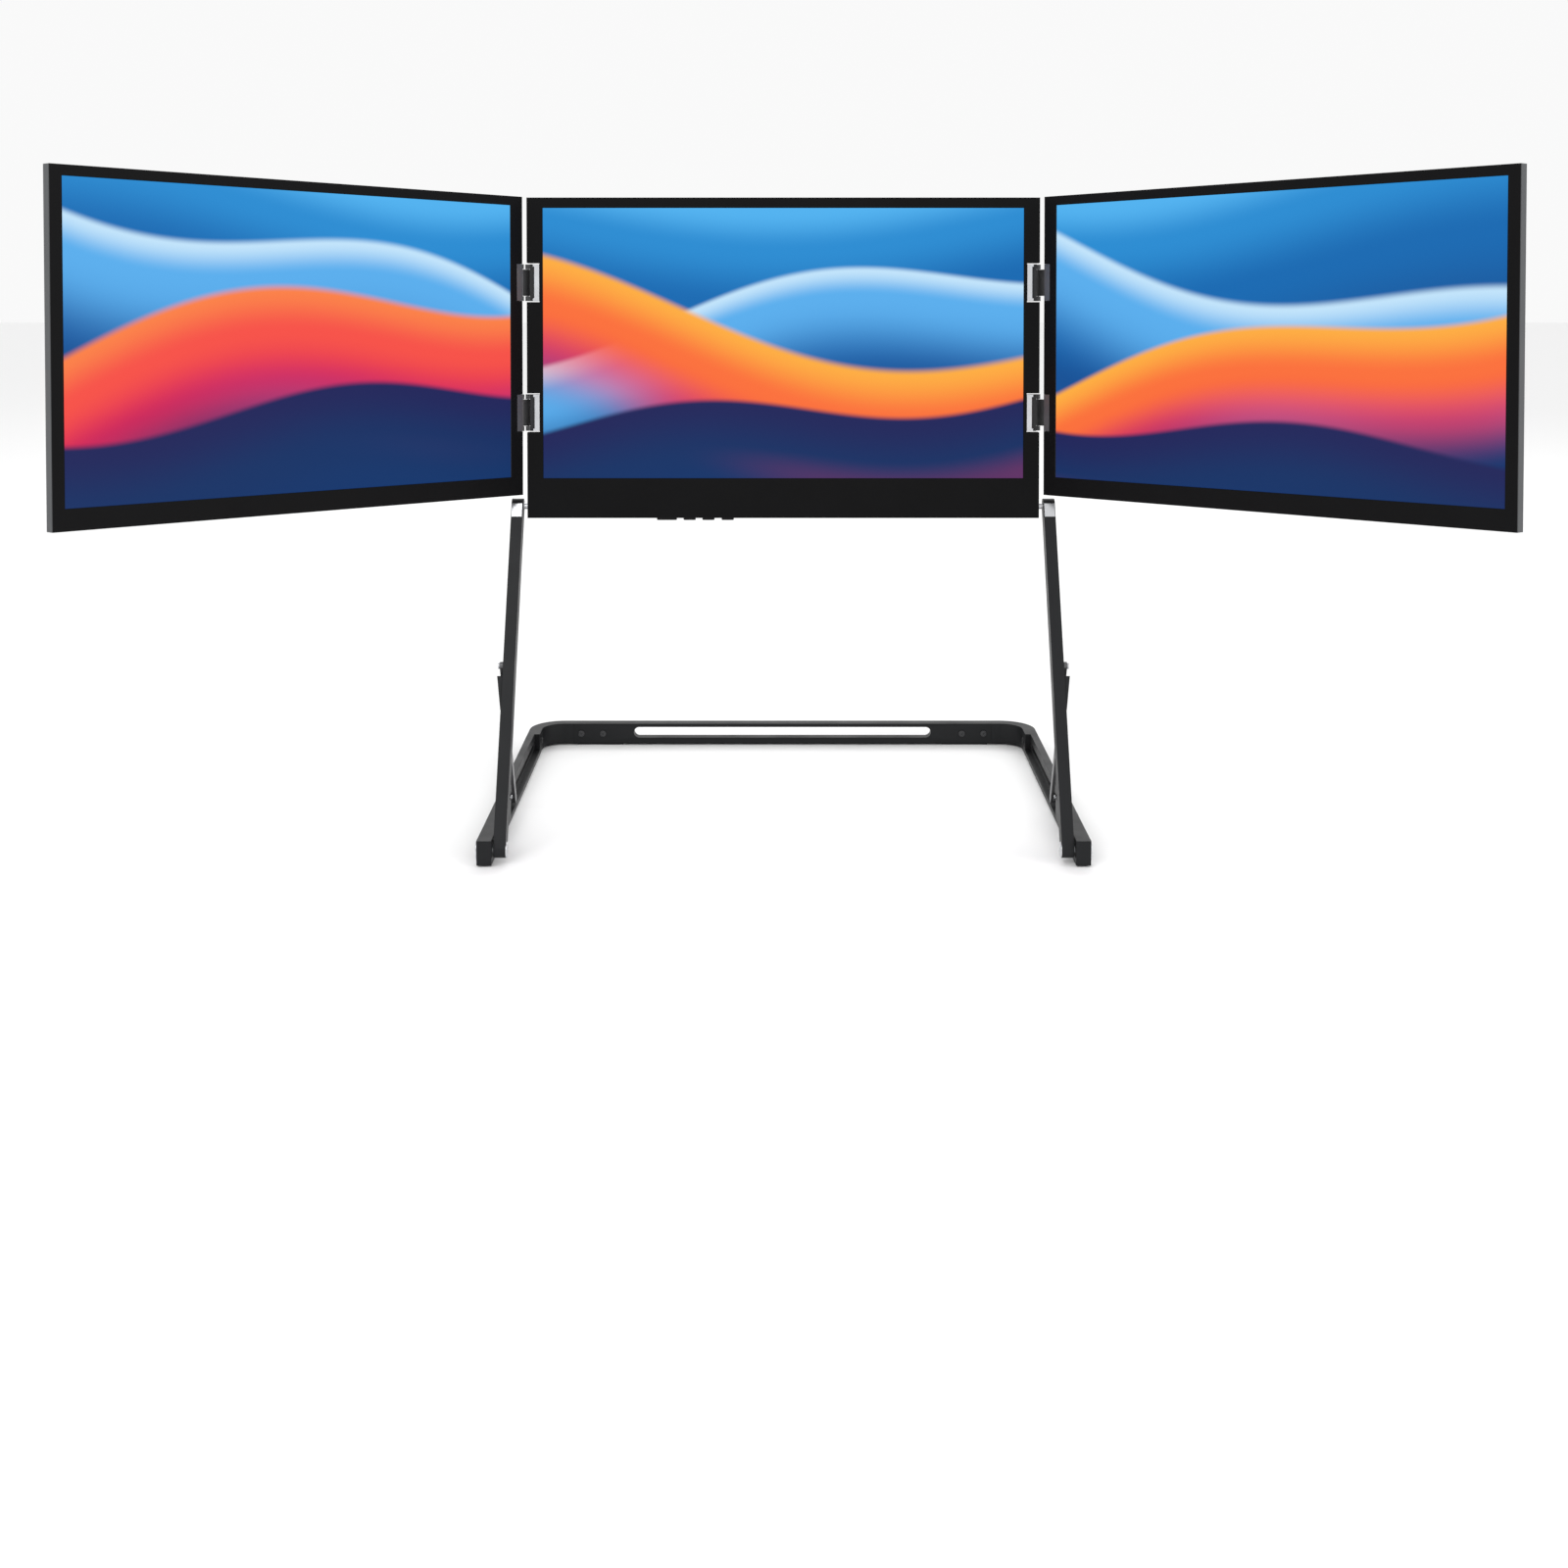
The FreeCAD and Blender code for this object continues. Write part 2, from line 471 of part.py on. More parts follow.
# -------------------------------------------------------------- side screens
for side in ("left", "right"):
    g = GEO[side]
    sg, W, c = g["sg"], g["wing"], g["deep_b"]

    def w(p0, p1, q0, dq, z0, h, wide=None):
        return box((wide or (p1 - p0), dq, h), (p0 if sg > 0 else -p1, q0, z0))

    # links between the two pins of each hinge
    links = []
    for zc in (V["hinge_hi"], V["hinge_lo"]):
        lb = bar_body("hinge_link_" + side, side + "_link", "hinge_r", "link_h", "hinge_pin_r+run")
        ang = g["angle"] if sg > 0 else 180.0 - g["angle"]
        lb.Placement = PLC(V3(g["a"].x, g["a"].y, zc - V["link_h"] / 2), ROT(V3(0, 0, 1), ang))
        links.append(lb)
    node("hinge_links_" + side, group(*links), SCREEN)

    rec = []
    for zc in ("hinge_hi", "hinge_lo"):
        rec.append(w(-2.0, 4.7, -3.0, 4.3, zc + "-hinge_h/2-0.1", "hinge_h+0.2"))
        rec.append(w(-2.0, 1.3, -3.0, 12.0, zc + "-hinge_h/2-0.1", "hinge_h+0.2"))
    body = w(0.0, V["wing_w"], "wing_face", "wing_t-wing_face", "wing_low", "wing_h", "wing_w")
    hole = w(8.6, V["wing_w"] - 1.6, "wing_face", "wing_t-wing_face-1.0", "wing_low+1.6", "wing_h-3.2", "wing_w-10.2")
    wscrew = [(12.0, 12.0), (315.0, 12.0), (12.0, 195.0), (315.0, 195.0)]
    wb = [cyl(2.2, 2.0, (sg * x, "wing_t-0.6", z), "y") for x, z in wscrew]
    node(side + "_rear_shell", cut(body, hole, *(rec + wb)), W)
    node(side + "_shell_screws", group(*[cyl(2.1, 0.45, (sg * x, "wing_t-0.6", z), "y") for x, z in wscrew]), W)
    rec2 = [w(-2.0, 4.7, -3.0, 8.0, zc + "-hinge_h/2-0.1", "hinge_h+0.2") for zc in ("hinge_hi", "hinge_lo")]
    face = w(0.0, V["wing_w"], 0.0, "wing_face", "wing_low", "wing_h", "wing_w")
    win = w(V["wing_edge"], V["wing_edge"] + V["view_w"], -5.0, 10.0, "wing_low+wing_foot", "view_h", "view_w")
    node(side + "_front_frame", cut(face, win, *rec2), W)
    node(side + "_lcd_panel", w(9.2, 320.7, "wing_face", 1.2, "wing_low+wing_foot-0.8", "view_h+1.6"), W)
    node(side + "_backlight", w(9.4, 320.5, "wing_face+1.3", 1.6, "wing_low+wing_foot-0.6", "view_h+1.2"), W)
    node(side + "_driver_board", w(96.0, 236.0, 1.2, 1.0, "wing_low+2.2", 8.4), W)

    lv, pn = [], []
    for zc in ("hinge_hi", "hinge_lo"):
        lo, hi = zc + "-hinge_h/2", zc + "+hinge_h/2-3"
        deep = min(2.0, V["wing_t"] - (c - 1.0))
        solid = fuse(
            w(0.0, 4.6, 0.0, 1.2, lo, "hinge_h"),
            w(0.0, 1.2, 0.0, c + min(1.0, V["wing_t"] - c), lo, "hinge_h"),
            w(-PIN_OUT, 0.6, c - 1.0, deep, lo, 3.0),
            w(-PIN_OUT, 0.6, c - 1.0, deep, hi, 3.0),
            cyl("hinge_r", 3.0, (-sg * PIN_OUT, c, lo)),
            cyl("hinge_r", 3.0, (-sg * PIN_OUT, c, hi)),
        )
        lv.append(cut(solid, cyl("hinge_pin_r", 40.0, (-sg * PIN_OUT, c, zc + "-20"))))
        pn.append(cyl("hinge_pin_r", "hinge_h", (-sg * PIN_OUT, c, lo)))
    node(side + "_hinge_leaves", group(*lv), W)
    node(side + "_hinge_pins", group(*pn), W)

# ------------------------------------------------------------------- checks
doc.recompute()
bad = [o.Name for o in doc.Objects if "Invalid" in o.State or "Error" in o.State]
if bad:
    raise SystemExit("failed objects: " + ", ".join(bad))
for label, obj in NODES:
    if obj.Shape.isNull() or not obj.Shape.isValid() or not obj.Shape.Solids:
        raise SystemExit("bad shape: " + label)

os.makedirs("parts", exist_ok=True)
low = [1e9] * 3
high = [-1e9] * 3
for label, obj in NODES:
    bb = obj.Shape.BoundBox
    low = [min(a, b) for a, b in zip(low, (bb.XMin, bb.YMin, bb.ZMin))]
    high = [max(a, b) for a, b in zip(high, (bb.XMax, bb.YMax, bb.ZMax))]
    obj.Shape.exportStep("parts/%s.step" % label)
    print("%-24s solids %d volume %.1f box %s" % (label, len(obj.Shape.Solids), obj.Shape.Volume,
          [round(v, 1) for v in (bb.XMin, bb.XMax, bb.YMin, bb.YMax, bb.ZMin, bb.ZMax)]))
print("nodes", len(NODES), "low", low, "high", high, "middle y", (low[1] + high[1]) / 2)
print("TILT", TILT, "pivot", PIVOT, "strut down", strut_down, "foot", foot_y)
for side in GEO:
    g = GEO[side]
    print(side, {k: (round(v, 4) if isinstance(v, float) else v) for k, v in g.items()},
          "A", SCREEN.multVec(g["a"]), "B", SCREEN.multVec(g["b"]))
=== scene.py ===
# Looks for the folding triple-screen stand. Metres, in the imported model's frame.
import json
import math

import bmesh
import bpy
from mathutils import Matrix, Vector


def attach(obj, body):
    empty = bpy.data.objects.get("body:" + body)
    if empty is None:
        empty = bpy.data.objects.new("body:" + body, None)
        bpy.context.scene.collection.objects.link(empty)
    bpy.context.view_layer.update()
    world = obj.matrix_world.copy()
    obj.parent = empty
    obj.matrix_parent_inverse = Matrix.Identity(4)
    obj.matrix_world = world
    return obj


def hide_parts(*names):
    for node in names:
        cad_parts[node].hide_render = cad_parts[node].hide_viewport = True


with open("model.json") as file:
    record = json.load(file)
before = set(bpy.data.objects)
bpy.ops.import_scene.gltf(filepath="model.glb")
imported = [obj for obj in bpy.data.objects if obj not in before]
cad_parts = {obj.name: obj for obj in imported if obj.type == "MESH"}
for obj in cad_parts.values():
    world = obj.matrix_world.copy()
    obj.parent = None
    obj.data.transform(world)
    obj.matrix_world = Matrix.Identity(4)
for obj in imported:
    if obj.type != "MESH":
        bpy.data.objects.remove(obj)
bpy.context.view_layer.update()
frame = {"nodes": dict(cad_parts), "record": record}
NODES = frame["nodes"]

# ------------------------------------------------------------------ frames
LEAN = math.radians(3.5)
FAN = math.radians(49.3)
TILT = Vector((0.0, 0.03738469, 0.20364238))
SCREEN = Matrix.Translation(TILT) @ Matrix.Rotation(-LEAN, 4, "X") @ Matrix.Translation((0, -0.0045, 0))
EDGE_Y = {-1: -0.000609954, 1: -0.000744}


def wing(sg):
    return SCREEN @ Matrix.Translation((sg * 0.1679, EDGE_Y[sg], 0)) @ Matrix.Rotation(-sg * FAN, 4, "Z")


LEG = Matrix.Translation((0, -0.0642, 0.0085)) @ Matrix.Rotation(math.radians(62.5), 4, "X")


# --------------------------------------------------------------- materials
def make(name, colour, rough, metallic=0.0, tone=0.25, grain=1800.0, bump=0.08, spread=0.10,
         stretch=(1, 1, 1), bevel=0.0003, specular=0.5, coat=0.0, worn=None, lit_face_dir=None, lit_face_colour=None):
    mat = bpy.data.materials.new(name)
    mat.use_nodes = True
    nt = mat.node_tree
    n, ln = nt.nodes, nt.links
    bsdf = n["Principled BSDF"]
    bsdf.inputs["Metallic"].default_value = metallic
    bsdf.inputs["Specular IOR Level"].default_value = specular
    bsdf.inputs["Coat Weight"].default_value = coat
    bsdf.inputs["Coat Roughness"].default_value = 0.25
    tc = n.new("ShaderNodeTexCoord")
    mp = n.new("ShaderNodeMapping")
    mp.inputs["Scale"].default_value = stretch
    ln.new(tc.outputs["Object"], mp.inputs["Vector"])
    fine = n.new("ShaderNodeTexNoise")
    fine.inputs["Scale"].default_value = grain
    fine.inputs["Detail"].default_value = 3.0
    ln.new(mp.outputs["Vector"], fine.inputs["Vector"])
    broad = n.new("ShaderNodeTexNoise")
    broad.inputs["Scale"].default_value = 38.0
    broad.inputs["Detail"].default_value = 5.0
    broad.inputs["Roughness"].default_value = 0.6
    ln.new(tc.outputs["Object"], broad.inputs["Vector"])
    # colour: slow mottling, with a little of the fine grain
    mix = n.new("ShaderNodeMath")
    mix.operation = "MULTIPLY_ADD"
    ln.new(fine.outputs["Fac"], mix.inputs[0])
    mix.inputs[1].default_value = 0.35
    ln.new(broad.outputs["Fac"], mix.inputs[2])
    ramp = n.new("ShaderNodeValToRGB")
    lo = [c * (1 - tone) for c in colour] + [1]
    hi = [min(1, c * (1 + tone)) for c in colour] + [1]
    ramp.color_ramp.elements[0].position, ramp.color_ramp.elements[0].color = 0.42, lo
    ramp.color_ramp.elements[1].position, ramp.color_ramp.elements[1].color = 0.95, hi
    ln.new(mix.outputs[0], ramp.inputs["Fac"])
    out = ramp.outputs["Color"]
    if worn is not None:
        # rubbed edges: raised corners go a little lighter
        geo = n.new("ShaderNodeNewGeometry")
        er = n.new("ShaderNodeMapRange")
        er.inputs["From Min"].default_value, er.inputs["From Max"].default_value = 0.53, 0.62
        er.inputs["To Max"].default_value = 0.55
        ln.new(geo.outputs["Pointiness"], er.inputs["Value"])
        mx = n.new("ShaderNodeMix")
        mx.data_type = "RGBA"
        ln.new(er.outputs["Result"], mx.inputs["Factor"])
        ln.new(out, mx.inputs["A"])
        mx.inputs["B"].default_value = list(worn) + [1]
        out = mx.outputs["Result"]
    if lit_face_dir is not None:
        # painted highlight: the one face that looks in this direction is made lighter, as where light falls on it
        dot = n.new("ShaderNodeVectorMath")
        dot.operation = "DOT_PRODUCT"
        dot.inputs[1].default_value = lit_face_dir
        ln.new(tc.outputs["Normal"], dot.inputs[0])
        st = n.new("ShaderNodeMapRange")
        st.inputs["From Min"].default_value, st.inputs["From Max"].default_value = 0.90, 0.97
        ln.new(dot.outputs["Value"], st.inputs["Value"])
        mx = n.new("ShaderNodeMix")
        mx.data_type = "RGBA"
        ln.new(st.outputs["Result"], mx.inputs["Factor"])
        ln.new(out, mx.inputs["A"])
        mx.inputs["B"].default_value = list(lit_face_colour) + [1]
        out = mx.outputs["Result"]
    ln.new(out, bsdf.inputs["Base Color"])
    rr = n.new("ShaderNodeMapRange")
    rr.inputs["From Min"].default_value, rr.inputs["From Max"].default_value = 0.3, 0.7
    rr.inputs["To Min"].default_value, rr.inputs["To Max"].default_value = rough - spread, rough + spread
    ln.new(broad.outputs["Fac"], rr.inputs["Value"])
    ln.new(rr.outputs["Result"], bsdf.inputs["Roughness"])
    bp = n.new("ShaderNodeBump")
    bp.inputs["Strength"].default_value = bump
    bp.inputs["Distance"].default_value = 0.0002
    ln.new(fine.outputs["Fac"], bp.inputs["Height"])
    if bevel:
        bv = n.new("ShaderNodeBevel")
        bv.samples = 4
        bv.inputs["Radius"].default_value = bevel
        ln.new(bv.outputs["Normal"], bp.inputs["Normal"])
    ln.new(bp.outputs["Normal"], bsdf.inputs["Normal"])
    return mat


def outward(sg):
    v = wing(sg).to_3x3() @ Vector((sg, 0, 0))
    return (v.x, v.y, v.z)


MAT = {
    "frame_black": make("frame_black", (0.0035, 0.0037, 0.004), 0.42, 0.0, 0.3, 2400, 0.12, 0.07, bevel=0.0007, specular=0.18, worn=(0.02, 0.021, 0.023)),
    "rubber": make("rubber", (0.008, 0.008, 0.008), 0.85, 0.0, 0.3, 900, 0.4, 0.08, specular=0.15),
    "dark_steel": make("dark_steel", (0.055, 0.056, 0.058), 0.36, 0.75, 0.3, 2600, 0.1, 0.08, stretch=(1, 1, 0.15), specular=0.4, worn=(0.2, 0.2, 0.205)),
    "bright_steel": make("bright_steel", (0.62, 0.63, 0.65), 0.28, 1.0, 0.12, 2600, 0.18, 0.08, stretch=(1, 1, 0.06)),
    "shell_black": make("shell_black", (0.006, 0.0062, 0.0066), 0.48, 0.0, 0.3, 3000, 0.22, 0.07, bevel=0.0005, specular=0.3, worn=(0.03, 0.031, 0.033)),
    "bezel_black": make("bezel_black", (0.0025, 0.0025, 0.0028), 0.5, 0.0, 0.25, 3400, 0.12, 0.05, bevel=0.0003, specular=0.1),
    "key_black": make("key_black", (0.006, 0.006, 0.0065), 0.5, 0.0, 0.3, 3000, 0.2, 0.06, specular=0.25),
    "screen_glass": make("screen_glass", (0.004, 0.006, 0.01), 0.25, 0.0, 0.3, 4000, 0.05, 0.04, specular=0.2),
    "diffuser": make("diffuser", (0.75, 0.78, 0.8), 0.6, 0.0, 0.08, 2500, 0.1, 0.06),
    "board": make("board", (0.012, 0.09, 0.035), 0.4, 0.0, 0.6, 700, 0.3, 0.1),
}
# painted highlight: shell_black copies whose outward-facing side face is painted lighter, as if lit
SHELL_LIT_SIDE = {
    sg: make("shell_lit_side_%s" % ("left" if sg < 0 else "right"), (0.006, 0.0062, 0.0066), 0.48, 0.0, 0.3, 3000, 0.22, 0.07,
             bevel=0.0005, specular=0.3, worn=(0.03, 0.031, 0.033), lit_face_dir=outward(sg), lit_face_colour=(0.075, 0.078, 0.082))
    for sg in (-1, 1)
}
# painted highlight: bezel_black copies whose outward-facing side face is painted lighter, as if lit
BEZEL_LIT_SIDE = {
    sg: make("bezel_lit_side_%s" % ("left" if sg < 0 else "right"), (0.0025, 0.0025, 0.0028), 0.5, 0.0, 0.25, 3400, 0.12, 0.05,
             bevel=0.0003, specular=0.1, lit_face_dir=outward(sg), lit_face_colour=(0.05, 0.052, 0.055))
    for sg in (-1, 1)
}

by_node = {s["node"]: s["material_slot"] for s in frame["record"]["subparts"]}
for name, obj in NODES.items():
    mat = MAT[by_node[name]]
    if name == "left_rear_shell":
        mat = SHELL_LIT_SIDE[-1]
    elif name == "right_rear_shell":
        mat = SHELL_LIT_SIDE[1]
    elif name == "left_front_frame":
        mat = BEZEL_LIT_SIDE[-1]
    elif name == "right_front_frame":
        mat = BEZEL_LIT_SIDE[1]
    obj.data.materials.clear()
    obj.data.materials.append(mat)


# ----------------------------------------------------------------- display
def display(name, shift, tilt, bend, warm):
    """A lit screen: a deep sky with a few broad, folded ribbons of light across it."""
    mat = bpy.data.materials.new(name)
    mat.use_nodes = True
    nt = mat.node_tree
    n, ln = nt.nodes, nt.links
    bsdf = n["Principled BSDF"]
    bsdf.inputs["Base Color"].default_value = (0.004, 0.004, 0.005, 1)
    bsdf.inputs["Roughness"].default_value = 0.4
    bsdf.inputs["Specular IOR Level"].default_value = 0.06
    bsdf.inputs["Emission Strength"].default_value = 1.0
    tc = n.new("ShaderNodeTexCoord")
    sep = n.new("ShaderNodeSeparateXYZ")
    ln.new(tc.outputs["Object"], sep.inputs[0])

    def math_node(op, a, b=None, c=None):
        m = n.new("ShaderNodeMath")
        m.operation = op
        for i, v in enumerate((a, b, c)):
            if v is None:
                continue
            if hasattr(v, "links"):
                ln.new(v, m.inputs[i])
            else:
                m.inputs[i].default_value = v
        return m.outputs[0]

    x = math_node("MULTIPLY", sep.outputs["X"], 1 / 0.155)      # -1 to 1 across
    z = math_node("MULTIPLY", sep.outputs["Z"], 1 / 0.0872)     # -1 to 1 up

    def ramp(fac, stops):
        r = n.new("ShaderNodeValToRGB")
        r.color_ramp.interpolation = "EASE"
        e = r.color_ramp.elements
        while len(e) > 1:
            e.remove(e[-1])
        e[0].position, e[0].color = stops[0][0], (*stops[0][1], 1)
        for p, c in stops[1:]:
            k = e.new(p)
            k.color = (*c, 1)
        ln.new(fac, r.inputs["Fac"])
        return r.outputs["Color"]

    # sky: light blue above, navy below, a slow drift from side to side
    drift = math_node("MULTIPLY_ADD", math_node("SINE", math_node("MULTIPLY_ADD", x, 1.7, shift)), 0.22, z)
    sky = ramp(math_node("MULTIPLY_ADD", drift, 0.42, 0.5), [
        (0.0, (0.002, 0.03, 0.14)), (0.22, (0.002, 0.035, 0.15)), (0.45, (0.003, 0.08, 0.30)),
        (0.7, (0.004, 0.14, 0.44)), (0.88, (0.02, 0.26, 0.64)), (1.0, (0.08, 0.44, 0.86))])
    out = sky
    # ribbons: each is a curve z = f(x) with a crisp upper edge and a long fade below it
    for k, (level, slope, amp, freq, phase, depth, stops) in enumerate(warm):
        curve = math_node("MULTIPLY_ADD", math_node("SINE", math_node("MULTIPLY_ADD", x, freq, phase + bend)), amp,
                          math_node("MULTIPLY_ADD", x, slope * tilt, level))
        below = math_node("DIVIDE", math_node("SUBTRACT", curve, z), depth)   # 0 at the edge, 1 a depth below
        colour = ramp(below, stops)
        on = n.new("ShaderNodeMapRange")
        on.interpolation_type = "SMOOTHSTEP"
        on.inputs["From Min"].default_value, on.inputs["From Max"].default_value = -0.03, 0.03
        ln.new(below, on.inputs["Value"])
        off = n.new("ShaderNodeMapRange")
        off.interpolation_type = "SMOOTHSTEP"
        off.inputs["From Min"].default_value, off.inputs["From Max"].default_value = 0.35, 1.0
        off.inputs["To Min"].default_value, off.inputs["To Max"].default_value = 1.0, 0.0
        ln.new(below, off.inputs["Value"])
        fac = math_node("MULTIPLY", on.outputs["Result"], off.outputs["Result"])
        mx = n.new("ShaderNodeMix")
        mx.data_type = "RGBA"
        ln.new(fac, mx.inputs["Factor"])
        ln.new(out, mx.inputs["A"])
        ln.new(colour, mx.inputs["B"])
        out = mx.outputs["Result"]
    ln.new(out, bsdf.inputs["Emission Color"])
    return mat


ORANGE = [(0.0, (0.96, 0.22, 0.06)), (0.25, (0.92, 0.08, 0.06)), (0.55, (0.72, 0.012, 0.09)), (1.0, (0.08, 0.02, 0.16))]
GOLD = [(0.0, (0.98, 0.42, 0.05)), (0.3, (0.96, 0.16, 0.04)), (0.65, (0.86, 0.02, 0.07)), (1.0, (0.12, 0.02, 0.16))]
PALE = [(0.0, (0.55, 0.78, 0.96)), (0.22, (0.10, 0.42, 0.84)), (1.0, (0.005, 0.12, 0.42))]
NAVY = [(0.0, (0.012, 0.016, 0.10)), (0.5, (0.004, 0.03, 0.13)), (1.0, (0.002, 0.035, 0.15))]


def box_mesh(name, low, high, bevel, segments=3):
    bm = bmesh.new()
    bmesh.ops.create_cube(bm, size=1.0)
    for v in bm.verts:
        for i in range(3):
            v.co[i] = low[i] if v.co[i] < 0 else high[i]
    bmesh.ops.bevel(bm, geom=list(bm.edges), offset=bevel, segments=segments, profile=0.5, affect="EDGES")
    me = bpy.data.meshes.new(name)
    bm.to_mesh(me)
    bm.free()
    return me


def piece(name, me, matrix, body, mat):
    ob = bpy.data.objects.new(name, me)
    bpy.context.scene.collection.objects.link(ob)
    ob.matrix_world = matrix
    me.materials.clear()
    me.materials.append(mat)
    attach(ob, body)
    return ob


screens = {
    "left": (wing(-1) @ Matrix.Translation((-0.16495, 0, 0.10665)), "left_screen",
             display("display_left", 0.4, 1.0, 0.0, [
                 (0.62, -0.35, 0.20, 2.4, 0.3, 1.0, PALE),
                 (0.15, 0.30, 0.28, 2.1, 2.3, 1.15, ORANGE),
                 (-0.42, 0.10, 0.12, 3.0, 1.0, 0.9, NAVY)])),
    "centre": (SCREEN @ Matrix.Translation((0, 0, 0.10545)), "centre_screen",
               display("display_centre", 1.6, 1.0, 0.4, [
                   (0.30, 0.28, 0.20, 2.6, 0.9, 0.9, PALE),
                   (0.18, -0.20, 0.30, 2.0, 3.6, 1.2, GOLD),
                   (-0.50, 0.12, 0.12, 3.2, 2.4, 0.9, NAVY)])),
    "right": (wing(1) @ Matrix.Translation((0.16495, 0, 0.10665)), "right_screen",
              display("display_right", 2.8, -1.0, 0.9, [
                  (0.45, 0.30, 0.22, 2.2, 4.2, 1.1, PALE),
                  (-0.02, -0.34, 0.16, 2.5, 1.4, 0.95, GOLD),
                  (-0.62, 0.05, 0.10, 3.1, 0.2, 0.8, NAVY)])),
}
for side, (mx, body, mat) in screens.items():
    me = box_mesh(side + "_display", (-0.1548, 0.00025, -0.08705), (0.1548, 0.00078, 0.08705), 0.00012, 2)
    piece(side + "_display", me, mx, body, mat)


# ------------------------------------------------------------ turned pieces
def lathe(name, rings, sides=48):
    """rings: (radius, height, hexagon). Closed at both ends."""
    bm = bmesh.new()
    rows = []
    for r, h, hexed in rings:
        row = []
        for i in range(sides):
            a = 2 * math.pi * i / sides
            rr = r
            if hexed:
                k = (a % (math.pi / 3)) - math.pi / 6
                rr = r * math.cos(math.pi / 6) / math.cos(k)
            row.append(bm.verts.new((rr * math.cos(a), rr * math.sin(a), h)))
        rows.append(row)
    for a, b in zip(rows, rows[1:]):
        for i in range(sides):
            j = (i + 1) % sides
            bm.faces.new((a[i], a[j], b[j], b[i]))
    bm.faces.new(list(reversed(rows[0])))
    bm.faces.new(rows[-1])
    bmesh.ops.recalc_face_normals(bm, faces=bm.faces)
    me = bpy.data.meshes.new(name)
    bm.to_mesh(me)
    bm.free()
    for p in me.polygons:
        p.use_smooth = len(p.vertices) == 4
    me.set_sharp_from_angle(angle=math.radians(32))
    return me


def screw(name, r, h):
    m = 0.001
    return lathe(name, [(r * m * 0.98, 0, False), (r * m, 0.05 * m, False), (r * m, (h - 0.22) * m, False), (r * m * 0.93, (h - 0.06) * m, False),
                        (r * m * 0.86, h * m, False), (r * m * 0.56, h * m, True), (r * m * 0.52, (h - 0.05) * m, True),
                        (r * m * 0.50, 0.12 * m, True), (r * m * 0.15, 0.10 * m, False)])


def cap(name, r, h):
    m = 0.001
    return lathe(name, [(r * m * 0.99, 0, False), (r * m, 0.06 * m, False), (r * m, (h - 0.25) * m, False), (r * m * 0.965, h * m, False),
                        (r * m * 0.86, h * m, False), (r * m * 0.84, (h - 0.16) * m, False), (r * m * 0.80, (h - 0.16) * m, False),
                        (r * m * 0.78, h * m, False), (r * m * 0.30, h * m, False), (r * m * 0.27, (h - 0.22) * m, False), (r * m * 0.04, (h - 0.26) * m, False)], 64)


def aim(direction):
    return Vector(direction).to_track_quat("Z", "Y").to_matrix().to_4x4()


mm = 0.001
for i, (x, z) in enumerate([(-145, -2.0), (0, -2.0), (145, -2.0), (-145, 195.6), (0, 195.6), (145, 195.6)]):
    ob = piece("centre_screw_%d" % i, screw("cs%d" % i, 2.3, 0.5), SCREEN @ Matrix.Translation((x * mm, 0.0083, z * mm)) @ aim((0, 1, 0)),
               "centre_screen", MAT["dark_steel"])
    if i == 0:
        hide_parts("centre_shell_screws")
for side, sg in (("left", -1), ("right", 1)):
    for i, (x, z) in enumerate([(12.0, 12.0), (315.0, 12.0), (12.0, 195.0), (315.0, 195.0)]):
        ob = piece("%s_screw_%d" % (side, i), screw("%ss%d" % (side, i), 2.1, 0.45),
                   wing(sg) @ Matrix.Translation((sg * x * mm, 0.0054, z * mm)) @ aim((0, 1, 0)),
                   side + "_screen", MAT["dark_steel"])
        if i == 0:
            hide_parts(side + "_shell_screws")
PY = -0.0642
k = 0
for sg in (-1, 1):
    for at, d in (((sg * 0.149, PY + 0.2701, 0.0085), (0, -1, 0)), ((sg * 0.133, PY + 0.2701, 0.0085), (0, -1, 0)),
                  ((sg * 0.1762, PY + 0.251, 0.0085), (-sg, 0, 0))):
        ob = piece("corner_screw_%d" % k, screw("bs%d" % k, 2.2, 0.8), Matrix.Translation(at) @ aim(d), "base", MAT["dark_steel"])
        if k == 0:
            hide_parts("corner_screws")
        k += 1
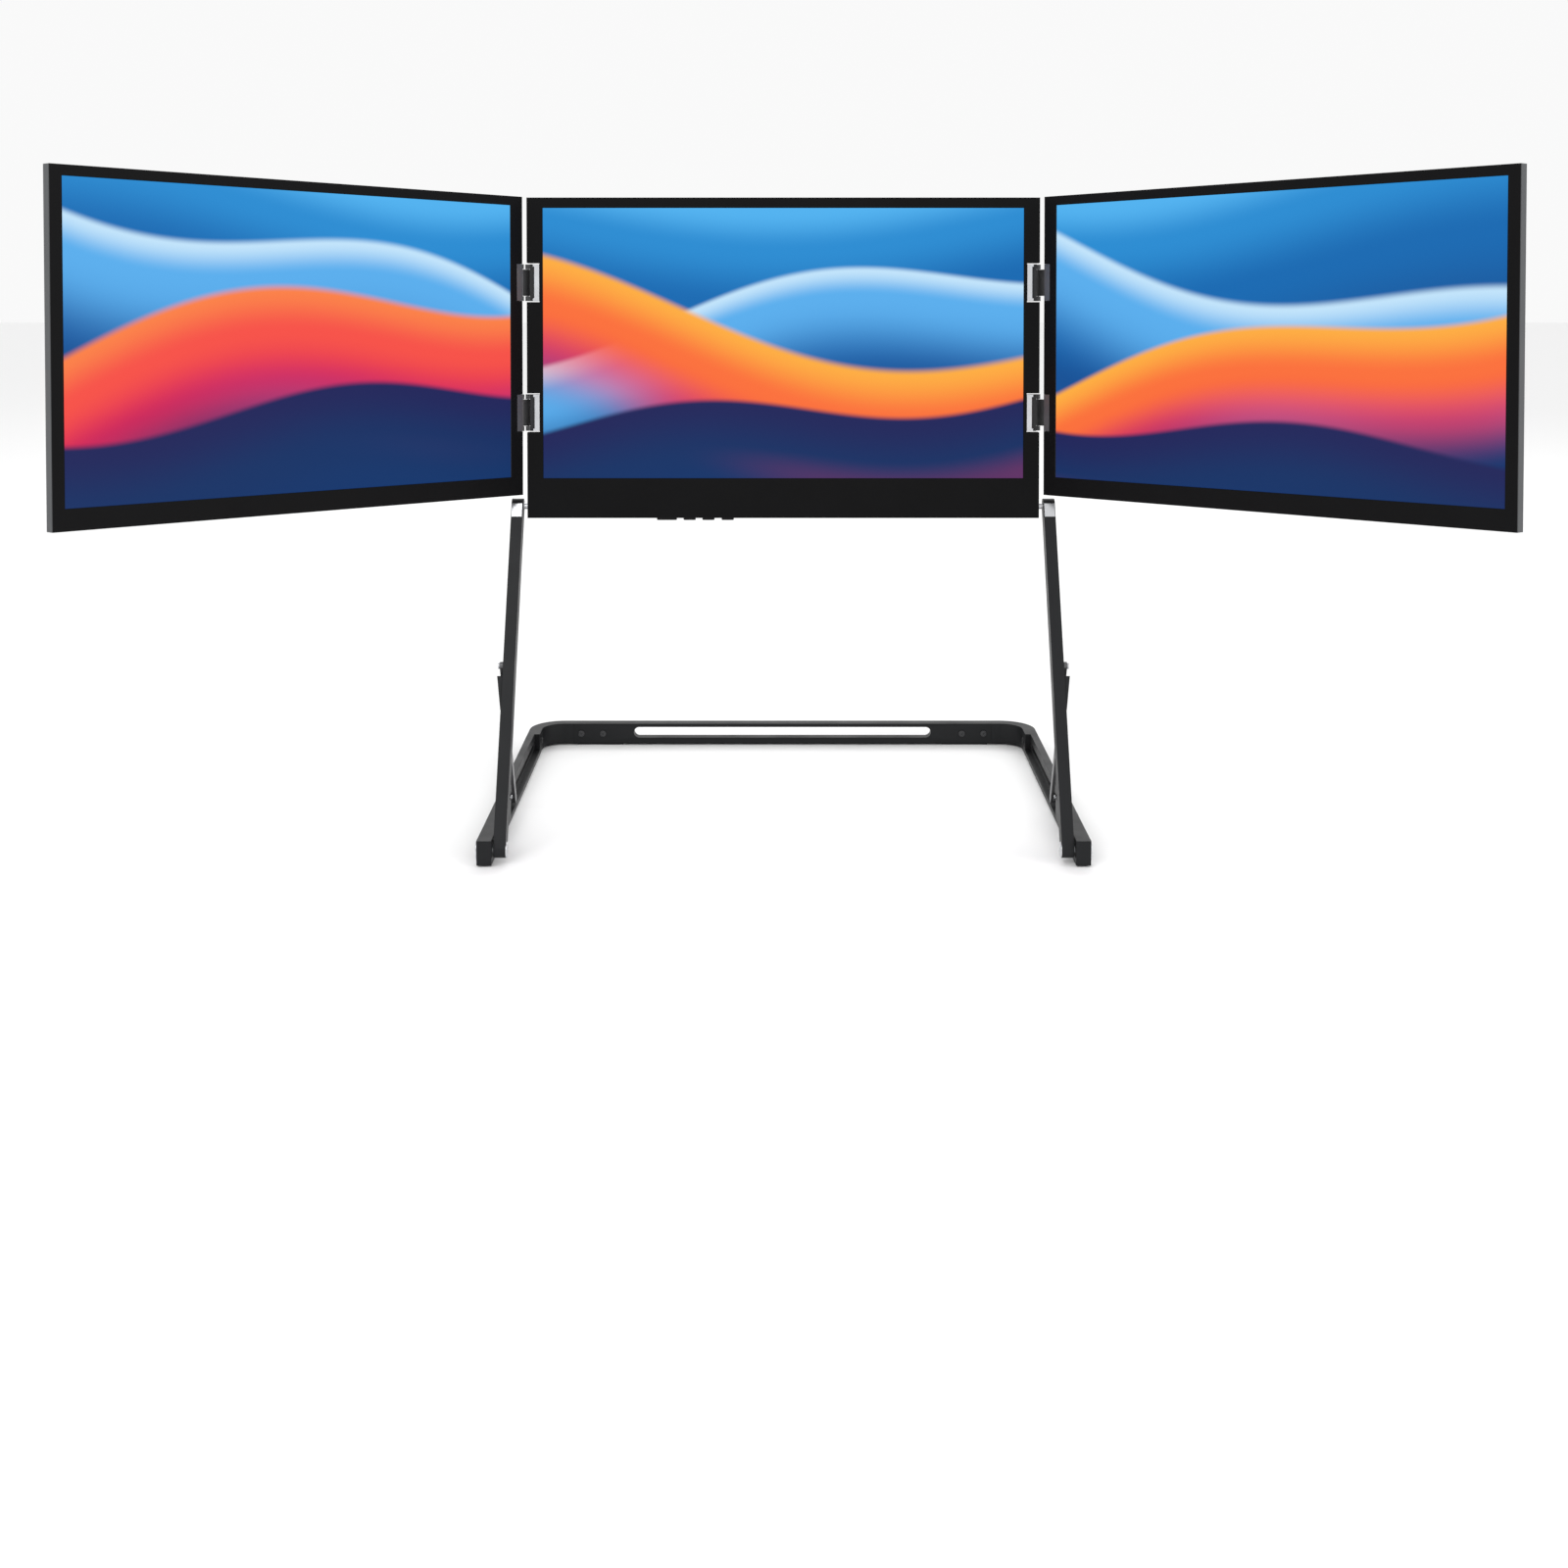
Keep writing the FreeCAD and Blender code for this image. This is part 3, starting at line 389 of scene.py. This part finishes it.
for i, sg in enumerate((-1, 1)):
    ob = piece("latch_screw_%d" % i, screw("ls%d" % i, 1.9, 0.9), Matrix.Translation((sg * 0.1806, PY + 0.074, 0.0192)), "base", MAT["bright_steel"])
    ob = piece("outer_cap_%d" % i, cap("oc%d" % i, 6.6, 0.8), Matrix.Translation((sg * 0.1852, PY, 0.0085)) @ aim((sg, 0, 0)), "base", MAT["bright_steel"])
    if i == 0:
        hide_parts("outer_pivot_caps")
    ob = piece("inner_cap_%d" % i, cap("ic%d" % i, 4.8, 0.6), Matrix.Translation((sg * 0.1681, PY, 0.0085)) @ aim((-sg, 0, 0)), "legs", MAT["bright_steel"])
    if i == 0:
        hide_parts("inner_pivot_caps")

# ------------------------------------------------------------------- stage
me = bpy.data.meshes.new("floor")
bm = bmesh.new()
bmesh.ops.create_grid(bm, x_segments=4, y_segments=4, size=6.0)
bm.to_mesh(me)
bm.free()
floor = bpy.data.objects.new("floor", me)
bpy.context.scene.collection.objects.link(floor)
fmat = bpy.data.materials.new("floor")
fmat.use_nodes = True
fb = fmat.node_tree.nodes["Principled BSDF"]
fb.inputs["Base Color"].default_value = (0.93, 0.93, 0.93, 1)
fb.inputs["Roughness"].default_value = 0.75
fb.inputs["Specular IOR Level"].default_value = 0.1
me.materials.append(fmat)

scene = bpy.context.scene
world = bpy.data.worlds.new("studio")
scene.world = world
world.use_nodes = True
world.node_tree.nodes["Background"].inputs["Color"].default_value = (1, 1, 1, 1)
world.node_tree.nodes["Background"].inputs["Strength"].default_value = 0.95
scene.view_settings.view_transform = "Standard"


def area(name, at, target, size, power):
    data = bpy.data.lights.new(name, "AREA")
    data.shape = "RECTANGLE"
    data.size, data.size_y = size
    data.energy = power
    ob = bpy.data.objects.new(name, data)
    scene.collection.objects.link(ob)
    ob.location = at
    ob.rotation_euler = (Vector(target) - Vector(at)).to_track_quat("-Z", "Y").to_euler()
    return ob


area("key", (-1.1, -1.5, 1.9), (0, 0, 0.25), (1.4, 1.0), 16)
area("fill", (1.6, -1.0, 1.1), (0, 0, 0.25), (1.2, 1.2), 8)
area("rim", (0.3, 1.6, 1.6), (0, 0, 0.2), (1.8, 0.6), 10)

# ------------------------------------------------------------------ camera
cam_data = bpy.data.cameras.new("camera")
cam_data.sensor_width = 36.0
cam_data.lens = 45.534
cam_data.shift_x = 0.00485
cam_data.shift_y = -0.25001
cam = bpy.data.objects.new("camera", cam_data)
scene.collection.objects.link(cam)
cam.location = (-0.004423, -1.236467, 0.39145)
cam.rotation_euler = (math.radians(90 - 5.095), 0, 0)
scene.camera = cam
